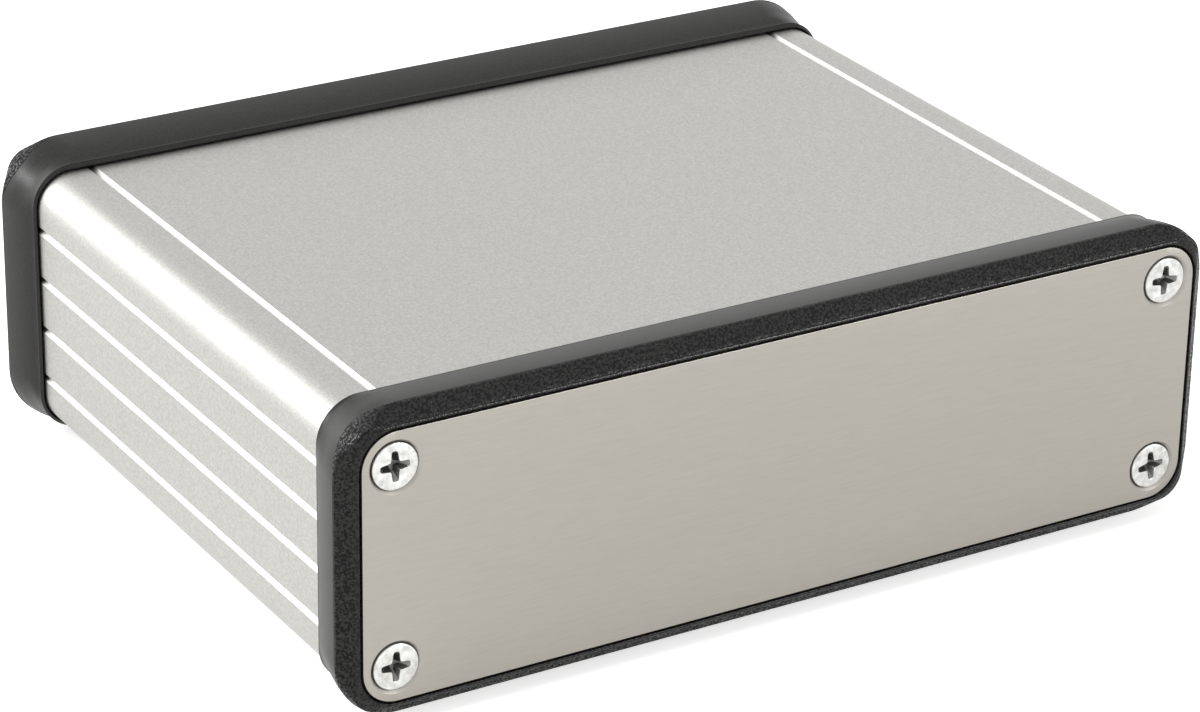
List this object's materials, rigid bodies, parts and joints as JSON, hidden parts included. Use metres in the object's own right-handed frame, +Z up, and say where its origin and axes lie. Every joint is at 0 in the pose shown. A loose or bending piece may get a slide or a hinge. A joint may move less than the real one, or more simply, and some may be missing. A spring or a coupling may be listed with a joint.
{
  "type": "extruded aluminium enclosure",
  "caption": "Slim extruded aluminium instrument case with rounded grooved sides, moulded black end bezels and flat screwed-on metal end panels.",
  "frame": {"origin": "under the middle of the case, on the surface that its feet stand on", "axes": "+X along the width, +Y from the front panel to the rear panel, +Z up"},
  "size_m": [0.1066, 0.0834, 0.0355],
  "materials": {
    "anodised_aluminium": "matte clear anodised",
    "brushed_aluminium": "fine brushed along the width",
    "black_plastic": "spark-textured moulding",
    "zinc_plated_steel": "bright zinc plate",
    "rubber": "moulded"
  },
  "bodies": {
    "root": {"body_shell": "anodised_aluminium", "base_plate": "anodised_aluminium", "front_bezel": "black_plastic", "rear_bezel": "black_plastic", "front_panel": "brushed_aluminium", "rear_panel": "brushed_aluminium", "front_screw_top_left": "zinc_plated_steel", "front_screw_top_right": "zinc_plated_steel", "front_screw_bottom_left": "zinc_plated_steel", "front_screw_bottom_right": "zinc_plated_steel", "rear_screw_top_left": "zinc_plated_steel", "rear_screw_top_right": "zinc_plated_steel", "rear_screw_bottom_left": "zinc_plated_steel", "rear_screw_bottom_right": "zinc_plated_steel", "front_foot_left": "rubber", "front_foot_right": "rubber", "rear_foot_left": "rubber", "rear_foot_right": "rubber"}
  },
  "joints": []
}
